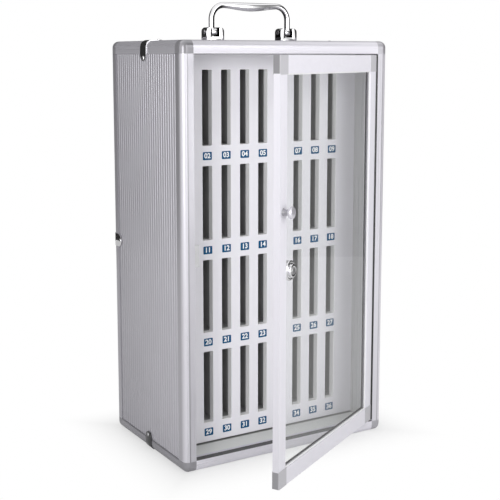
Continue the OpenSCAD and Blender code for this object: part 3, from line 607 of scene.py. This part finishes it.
def modify(piece, kind, **settings):
    """Adds a modifier with its settings and applies it."""
    only(piece)
    added = piece.modifiers.new(kind.title(), kind)
    for key, value in settings.items():
        setattr(added, key, value)
    bpy.ops.object.modifier_apply(modifier=added.name)
    return piece


def repeat(piece, count, x=0.0, z=0.0, merge=False):
    """A row of copies, each one step in millimetres from the last, welded to it if asked."""
    return modify(piece, "ARRAY", count=count, use_relative_offset=False, use_constant_offset=True,
                  constant_offset_displace=mm(x, 0, z), use_merge_vertices=merge, merge_threshold=0.00001)


# %% Selecting by place
def pick(piece, kind, test):
    """Edit mode with the edges or faces selected whose middle (mm) and direction pass a test."""
    only(piece)
    bpy.ops.object.mode_set(mode="EDIT")
    bpy.ops.mesh.select_mode(type=kind)
    bpy.ops.mesh.select_all(action="DESELECT")
    shape = bmesh.from_edit_mesh(piece.data)
    count = 0
    for part in (shape.edges if kind == "EDGE" else shape.faces):
        if kind == "EDGE":
            a, b = (v.co for v in part.verts)
            middle, way = (a + b) / 2, (b - a).normalized()
        else:
            middle, way = part.calc_center_median(), part.normal
        if test(middle / MM, way):
            part.select_set(True)
            count += 1
    bmesh.update_edit_mesh(piece.data)
    return count


def round_edges(piece, test, radius, steps):
    """Rounds the chosen edges by a radius in millimetres."""
    count = pick(piece, "EDGE", test)
    bpy.ops.mesh.bevel(offset=radius * MM, segments=steps, affect="EDGES")
    only(piece)
    return count


def soften(piece, width, steps=2, angle=30, material=-1):
    """Breaks every sharp edge by a width in millimetres, or by less where short edges leave no room."""
    return modify(piece, "BEVEL", width=width * MM, segments=steps, limit_method="ANGLE",
                  angle_limit=math.radians(angle), material=material, harden_normals=False)


def clean(piece, smooth=35):
    """Merges doubles, turns all faces outwards and shades them smooth up to an angle."""
    only(piece)
    bpy.ops.object.mode_set(mode="EDIT")
    bpy.ops.mesh.select_all(action="SELECT")
    bpy.ops.mesh.remove_doubles(threshold=0.000002)
    bpy.ops.mesh.normals_make_consistent(inside=False)
    only(piece)
    bpy.ops.object.shade_smooth_by_angle(angle=math.radians(smooth))
    return piece


def join(pieces):
    """Makes one piece of several."""
    only(pieces[0])
    for piece in pieces:
        piece.select_set(True)
    bpy.ops.object.join()
    return bpy.context.object


def copy_of(piece, move):
    """A copy with its own mesh, moved by a matrix."""
    made = piece.copy()
    made.data = piece.data.copy()
    bpy.context.scene.collection.objects.link(made)
    return settle(made, move)


def hand_in(piece, name, body, slot, finishes, *stands_for):
    """Names a finished piece, gives it its finish and its body, and hides the solids it stands for. The slot
    is not used.
    """
    piece.name = piece.data.name = name
    piece.data.materials.clear()
    for finish in finishes:
        piece.data.materials.append(finish)
    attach(piece, body)
    if stands_for:
        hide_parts(*stands_for)
    print(name, "faces", len(piece.data.polygons), "size mm", [round(v / MM, 1) for v in piece.dimensions])
    return piece


# %% Growing a mesh in edit mode
def push(x, y, z):
    """Pulls the selection out by a step in millimetres."""
    bpy.ops.mesh.extrude_region_move(TRANSFORM_OT_translate={"value": mm(x, y, z)})


def spin(steps, angle, x, y, z):
    """Spins the selection by some degrees about a line through a place, from front to back."""
    bpy.ops.mesh.spin(steps=steps, dupli=False, angle=math.radians(angle),
                      center=mm(x, y, z), axis=(0, 1, 0))


# %% [markdown]
# ## Slot sheet
#
# The sheet inside the case is one board with 36 upright slots, routed with a small radius in their corners
# and with a pale lipping round each. Holes could be cut with a boolean, but a tile with one slot, bridged
# from two outlines, has cleaner faces. It is arrayed nine by four, pulled out to the board's edges and given
# its thickness. The slots' walls get the second finish, the lipping, and so does the bevel that breaks their
# edges. Short edges beside it keep that bevel to a tenth or two of a millimetre. The lipping finish is much
# whiter than the board: partly its own colour, partly painted light on the walls that the light falls on.

# %% One tile of the slot sheet
SHEET_FRONT, SHEET_THICK = -50.0, 9.0
COLUMNS, ROWS, COLUMN, ROW = 9, 4, 25.7, 112.9
FIRST_SLOT, SLOT_TOP, SLOT_WIDE, SLOT_TALL = -112.5, 466.3, 13.0, 89.0
SHEET_HALF, SHEET_TOP, SHEET_FOOT = 128.6, 484.6, 14.4
TILES_LEFT, TILES_RIGHT = FIRST_SLOT - COLUMN / 2, FIRST_SLOT + (COLUMNS - 0.5) * COLUMN
TILES_FOOT = SHEET_TOP - ROWS * ROW


def flat_outline(x0, x1, z0, z1):
    """An upright rectangle in the sheet's front."""
    only(None)
    bpy.ops.mesh.primitive_plane_add(size=1, location=mm((x0 + x1) / 2, SHEET_FRONT, (z0 + z1) / 2),
                                     rotation=(math.radians(90), 0, 0))
    bpy.context.object.scale = ((x1 - x0) * MM, (z1 - z0) * MM, 1)
    return settle(bpy.context.object)


hole = flat_outline(FIRST_SLOT - SLOT_WIDE / 2, FIRST_SLOT + SLOT_WIDE / 2, SLOT_TOP - SLOT_TALL, SLOT_TOP)
pick(hole, "FACE", lambda at, way: True)
bpy.ops.mesh.bevel(offset=1.2 * MM, segments=4, affect="VERTICES")
slot_sheet = join([flat_outline(TILES_LEFT, TILES_LEFT + COLUMN, SHEET_TOP - ROW, SHEET_TOP), hole])
pick(slot_sheet, "FACE", lambda at, way: True)
bpy.ops.mesh.delete(type="ONLY_FACE")
pick(slot_sheet, "EDGE", lambda at, way: True)
bpy.ops.mesh.bridge_edge_loops()
only(slot_sheet)
print("tile faces", len(slot_sheet.data.polygons))

# %% Nine by four tiles, margins and thickness
repeat(slot_sheet, COLUMNS, x=COLUMN, merge=True)
repeat(slot_sheet, ROWS, z=-ROW, merge=True)
margins = (
    (lambda at, way: abs(at.x - TILES_LEFT) < 0.01, (-SHEET_HALF - TILES_LEFT, 0, 0)),
    (lambda at, way: abs(at.x - TILES_RIGHT) < 0.01, (SHEET_HALF - TILES_RIGHT, 0, 0)),
    (lambda at, way: abs(at.z - TILES_FOOT) < 0.01 and abs(way.x) > 0.9, (0, 0, SHEET_FOOT - TILES_FOOT)),
)
for test, step in margins:
    pick(slot_sheet, "EDGE", test)
    bpy.ops.mesh.extrude_edges_move(TRANSFORM_OT_translate={"value": mm(*step)})
clean(slot_sheet)
pick(slot_sheet, "FACE", lambda at, way: True)
bpy.ops.mesh.dissolve_limited(angle_limit=math.radians(1))
only(slot_sheet)
modify(slot_sheet, "SOLIDIFY", thickness=SHEET_THICK * MM, offset=0.0)
settle(slot_sheet, shift(0, SHEET_THICK / 2, 0))

# %% Lipping of the slots
# The walls of the slots take the lipping: partly its own colour, partly painted light on the lit walls.
slot_sheet.data.materials.clear()
slot_sheet.data.materials.append(SLOT_GREY)
slot_sheet.data.materials.append(SLOT_EDGE)
for face in slot_sheet.data.polygons:
    inside = abs(face.center.x) < 0.128 and 0.015 < face.center.z < 0.484
    face.material_index = int(inside and abs(face.normal.y) < 0.3)
soften(slot_sheet, 1.0, 1, 60, 1)
clean(slot_sheet, 25)
bands = [face.material_index for face in slot_sheet.data.polygons]
hand_in(slot_sheet, "slot_sheet", "case", "slot_panel", [SLOT_GREY, SLOT_EDGE], "slot_strips", "slot_bars")
for face, band in zip(slot_sheet.data.polygons, bands):
    face.material_index = band
print("lipping faces:", sum(bands))

# %% [markdown]
# ## Number labels
#
# Under each slot sits a small navy label with a white number. The plate is a thin film with rounded corners.
# The figures are real text at a size of 1, made a mesh, and only then shrunk to 8.4 mm, because text that is
# thickened at the size of a label gets ragged outlines.

# %% Label plates
LABEL_FRONT, LABEL_DROP, LABEL_WIDE, LABEL_TALL = -50.3, 12.0, 12.0, 9.5
FIGURE_SIZE = 8.4


def label_middle(column, row):
    """Where a label's middle lies from left to right and in height."""
    return FIRST_SLOT + column * COLUMN, SLOT_TOP - SLOT_TALL - LABEL_DROP - row * ROW


x, z = label_middle(0, 0)
plates = block((x - LABEL_WIDE / 2, LABEL_FRONT, z - LABEL_TALL / 2),
               (x + LABEL_WIDE / 2, SHEET_FRONT, z + LABEL_TALL / 2))
round_edges(plates, lambda at, way: abs(way.y) > 0.9, 0.9, 3)
repeat(plates, COLUMNS, x=COLUMN)
repeat(plates, ROWS, z=-ROW)
clean(plates)
hand_in(plates, "label_plates", "case", "label", [LABEL_NAVY], "slot_labels")

# %% Label figures
upright = Matrix.Rotation(math.radians(90), 4, "X") @ Matrix.Scale(FIGURE_SIZE * MM, 4)
figures = []
for row in range(ROWS):
    for column in range(COLUMNS):
        only(None)
        bpy.ops.object.text_add()
        figure = bpy.context.object
        figure.data.body = "%02d" % (row * COLUMNS + column + 1)
        figure.data.align_x, figure.data.align_y = "CENTER", "CENTER"
        figure.data.offset = 0.026
        figure.data.resolution_u = 4
        figure.data.extrude = 0.003
        bpy.ops.object.convert(target="MESH")
        x, z = label_middle(column, row)
        figures.append(settle(bpy.context.object, shift(x, LABEL_FRONT - 0.01, z) @ upright))
figures = join(figures)
clean(figures)
hand_in(figures, "label_figures", "case", "label", [LABEL_INK])

# %% [markdown]
# ## Carry handle
#
# The bow is a round rod with two quarter bends, and it swells downwards in the middle for the hand. A sweep
# along a curve would do, but a ring that is extruded, spun round the bend and then extruded in short steps
# with its own thickness at each shows how such a form grows. One half is made and mirrored.

# %% Bow
GRIP_R, GRIP_STEPS = 5.2, 14
FOOT_R, FOOT_LONG = 4.8, 10.4


def grip_radius(share):
    """Radius of the grip at a share of its half length, from 0 in the middle to 1 at the bend."""
    swell = 0.35 * (1 - share ** 2) + 0.325 * (1 + math.cos(math.pi * share))
    return ROD + (GRIP_R - ROD) * swell


only(None)
bpy.ops.mesh.primitive_circle_add(vertices=32, radius=ROD * MM, fill_type="NGON",
                                  location=mm(LEG_X, HANDLE_Y, PIN_Z))
bow = settle(bpy.context.object)
bpy.ops.object.mode_set(mode="EDIT")
bpy.ops.mesh.select_mode(type="FACE")
bpy.ops.mesh.select_all(action="SELECT")
push(0, 0, BEND_Z - PIN_Z)
spin(12, 90, BEND_X, HANDLE_Y, BEND_Z)
before = ROD
for step in range(1, GRIP_STEPS + 1):
    share = 1 - step / GRIP_STEPS
    push(-BEND_X / GRIP_STEPS, 0, 0)
    grow = grip_radius(share) / before
    bpy.ops.transform.resize(value=(1, grow, grow), center_override=mm(BEND_X * share, HANDLE_Y, BOW_TOP))
    before = grip_radius(share)
bpy.ops.mesh.delete(type="ONLY_FACE")
modify(bow, "MIRROR", use_axis=(True, False, False), use_mirror_merge=True, merge_threshold=0.00001)

# %% Feet of the bow
feet = []
for side in (-1, 1):
    only(None)
    bpy.ops.mesh.primitive_cylinder_add(vertices=40, radius=FOOT_R * MM, depth=FOOT_LONG * MM,
                                        location=mm(side * BRACKET_X, HANDLE_Y, PIN_Z),
                                        rotation=(0, math.radians(90), 0))
    foot = settle(bpy.context.object)
    soften(foot, 0.9, 3)
    feet.append(clean(foot))
clean(bow, 60)
bow = join([bow] + feet)
hand_in(bow, "carry_bow", "handle", "bright_chrome", [BOW_CHROME], "handle_bow")

# %% [markdown]
# The two brackets are small cast blocks with round shoulders and an open slot for the bow's foot. Each starts
# as a block, gets its two upper edges rounded, its slot cut, and then all its edges broken by 0.7 mm: on
# chrome those narrow bands are the white and black lines that draw the form.

# %% Brackets
BRACKET_WIDE, BRACKET_DEEP, BRACKET_FOOT, BRACKET_TOP = 24.3, 14.0, 498.8, 516.5
OPEN_WIDE, OPEN_FOOT = 11.0, 505.5


def bracket(middle):
    """A block with round shoulders and a slot that is open at the top."""
    half, front, back = BRACKET_WIDE / 2, HANDLE_Y - BRACKET_DEEP / 2, HANDLE_Y + BRACKET_DEEP / 2
    made = block((middle - half, front, BRACKET_FOOT), (middle + half, back, BRACKET_TOP))
    round_edges(made, lambda at, way: at.z > BRACKET_TOP - 0.5 and abs(way.y) > 0.9, 5.0, 10)
    half = OPEN_WIDE / 2
    slot = block((middle - half, front - 2, OPEN_FOOT), (middle + half, back + 2, BRACKET_TOP + 3.5))
    round_edges(slot, lambda at, way: at.z < OPEN_FOOT + 0.5 and abs(way.y) > 0.9, 1.2, 4)
    modify(made, "BOOLEAN", operation="DIFFERENCE", solver="EXACT", object=slot)
    bpy.data.objects.remove(slot)
    soften(made, 0.7, 3, 40)
    return clean(made, 40)


brackets = join([bracket(-BRACKET_X), bracket(BRACKET_X)])
hand_in(brackets, "carry_brackets", "case", "bright_chrome", [BRACKET_CHROME], "handle_brackets")

# %% [markdown]
# ## Edge clips
#
# Bright straps are bent round the case's edges and riveted. A strap is a strip: one point is drawn down the
# side, spun round the edge and drawn along the top, that line is pulled out to the strap's width, and
# Solidify gives it its gauge. Its tips are rounded by wide bevels on their corners.

# %% Straps
STRAP_WIDE, STRAP_LEG, FOOT_LEG, GAUGE, TIP_R = 16.0, 24.0, 22.0, 0.8, 7.9


def drawn_line(start):
    """A single point in edit mode, ready to be drawn out into a line."""
    only(None)
    bpy.ops.mesh.primitive_plane_add(size=MM, location=start)
    made = settle(bpy.context.object)
    bpy.ops.object.mode_set(mode="EDIT")
    bpy.ops.mesh.select_mode(type="VERT")
    bpy.ops.mesh.select_all(action="SELECT")
    bpy.ops.mesh.merge(type="CENTER")
    return made


def strap(side_leg, turn, top_leg):
    """Strap on the upper left edge: a leg down the side, a bend of some degrees, a leg on top."""
    foot, end = TALL - side_leg, top_leg - HALF_WIDE
    made = drawn_line(mm(-HALF_WIDE - GAUGE / 2, -STRAP_WIDE / 2, foot))
    push(0, 0, side_leg - EDGE_R)
    spin(10, -turn, EDGE_R - HALF_WIDE, -STRAP_WIDE / 2, TALL - EDGE_R)
    if top_leg:
        push(top_leg - EDGE_R, 0, 0)
    bpy.ops.mesh.select_all(action="SELECT")
    push(0, STRAP_WIDE, 0)
    clean(made)
    modify(made, "SOLIDIFY", thickness=GAUGE * MM, offset=0.0)

    def corner(at, way):
        low = abs(way.x) > 0.9 and at.z < foot + 0.5
        far = abs(way.z) > 0.9 and at.x > end - 0.5 and top_leg > 0
        return abs(abs(at.y) - STRAP_WIDE / 2) < 0.1 and (low or far)

    tips = round_edges(made, corner, TIP_R, 8)
    soften(made, 0.22, 2, 40)
    print("strap with", tips, "rounded corners")
    return clean(made)


# %% Straps in their places
top_strap = strap(STRAP_LEG, 90, STRAP_LEG)
foot_strap = strap(FOOT_LEG, 57, 0)
settle(foot_strap, Matrix.Scale(-1, 4, (0, 0, 1)) @ shift(0, 0, -TALL))
to_back = (shift(-HALF_WIDE, HALF_DEEP, TALL / 2) @ Matrix.Rotation(math.radians(-90), 4, "X")
           @ shift(HALF_WIDE, 0, -TALL))
back_strap = copy_of(top_strap, to_back)
to_right = shift(0, 0, TALL / 2) @ half_turn("Y") @ shift(0, 0, -TALL / 2)
straps = join([top_strap, copy_of(top_strap, half_turn("Z")), back_strap, foot_strap,
               copy_of(foot_strap, half_turn("Z")), copy_of(back_strap, to_right)])
clean(straps)
hand_in(straps, "edge_straps", "case", "bright_chrome", [STRAP_CHROME], "edge_clips")

# %% [markdown]
# ## Turned parts
#
# The knob and the lock's shell are turned on a lathe, so they are made like that: an outline of radius and
# distance is drawn and spun a full turn. Both belong to the door. They are made with the door shut and
# then turned open about the hinge.

# %% Lathe
SHELL_Y, LATHE_STEPS = -93.6, 56
OPENED = shift(HINGE_X, HINGE_Y, 0) @ Matrix.Rotation(DOOR_TURN, 4, "Z") @ shift(-HINGE_X, -HINGE_Y, 0)


def turned(outline, x, z, y):
    """Outline of (radius, distance to the front) in millimetres, spun about a line that leaves the door."""
    made = drawn_line(mm(outline[0][0], -outline[0][1], 0))
    for (r0, d0), (r1, d1) in zip(outline, outline[1:]):
        push(r1 - r0, d0 - d1, 0)
    bpy.ops.mesh.select_all(action="SELECT")
    spin(LATHE_STEPS, 360, 0, 0, 0)
    clean(made, 40)
    return settle(made, OPENED @ shift(x, y, z))


# %% Knob and lock shell
knob = turned([(0, 0), (4.1, 0), (3.9, 0.5), (3.4, 1.0), (3.2, 1.7), (3.15, 4.5), (3.2, 7.4), (3.5, 8.2),
               (4.2, 8.5), (6.0, 8.5), (6.4, 8.65), (6.65, 9.0), (6.7, 9.5), (6.68, 10.3), (6.56, 10.9),
               (6.2, 11.45), (5.5, 11.95), (4.2, 12.38), (3.0, 12.56), (1.5, 12.66), (0, 12.7)],
              KNOB_X, KNOB_Z, HINGE_Y)
hand_in(knob, "door_knob", "door", "bright_chrome", [KNOB], "knob")
shell = turned([(4.08, 0.5), (4.08, 4.9), (4.25, 5.0), (6.3, 5.0), (6.9, 4.9), (7.3, 4.6), (7.5, 4.1),
                (7.5, 2.3), (7.6, 1.95), (7.9, 1.75), (8.6, 1.8), (10.0, 1.95), (10.5, 1.9), (10.9, 1.6),
                (11.15, 1.1), (11.2, 0.6), (11.2, 0.0), (8.0, 0.0), (8.0, -9.2), (4.08, -9.2), (4.08, 0.5)],
               LOCK_X, LOCK_Z, SHELL_Y)
hand_in(shell, "lock_shell", "door", "bright_chrome", [LOCK_CHROME], "lock_body")

# %% [markdown]
# ## Dressing the solids
#
# Each solid from the construction keeps its shape and gets its finish. The profiles' rounded edges are in the
# solids already, so they need no bevel here.

# %% Finish of each solid
WEAR = {
    PROFILE_Z: "post_front_left post_front_right post_back_left post_back_right",
    PROFILE_X: "rail_top_front rail_top_back rail_bottom_front rail_bottom_back",
    PROFILE_Y: "rail_top_left rail_top_right rail_bottom_left rail_bottom_right",
    CAP_GREY: "caps_top caps_bottom",
    DOOR_CAP: "door_caps",
    RIB_SIDE: "panel_left panel_right",
    RIB_BACK: "panel_back",
    TOP_SHEET: "panel_top panel_bottom",
    FOIL: "lining_left lining_right lining_back lining_top",
    FLOOR_GREY: "lining_floor",
    CHROME: "edge_clips knob lock_body handle_bow handle_brackets",
    STRAP_CHROME: "clip_rivets",
    SLOT_GREY: "slot_strips slot_bars",
    LABEL_NAVY: "slot_labels",
    INNER_GREY: "shelves dividers",
    SEAL: "door_seal",
    BEAD: "door_bead",
    HINGE_SHADE: "hinge_leaf_case hinge_leaf_door hinge_pin",
    ZINC: "hinge_rivets_case hinge_rivets_door knob_screw "
          "lock_nut lock_plug lock_cam cam_screw lock_catch catch_screws handle_pins handle_plate "
          "handle_screws",
    DOOR_Z: "door_stile_free door_stile_hinge",
    DOOR_X: "door_rail_top door_rail_bottom",
    PANE: "door_pane",
}
for finish, names in WEAR.items():
    for name in names.split():
        nodes[name].data.materials.clear()
        nodes[name].data.materials.append(finish)
dressed = sum(len(names.split()) for names in WEAR.values())
print(dressed, "of", len(nodes), "solids have a finish")
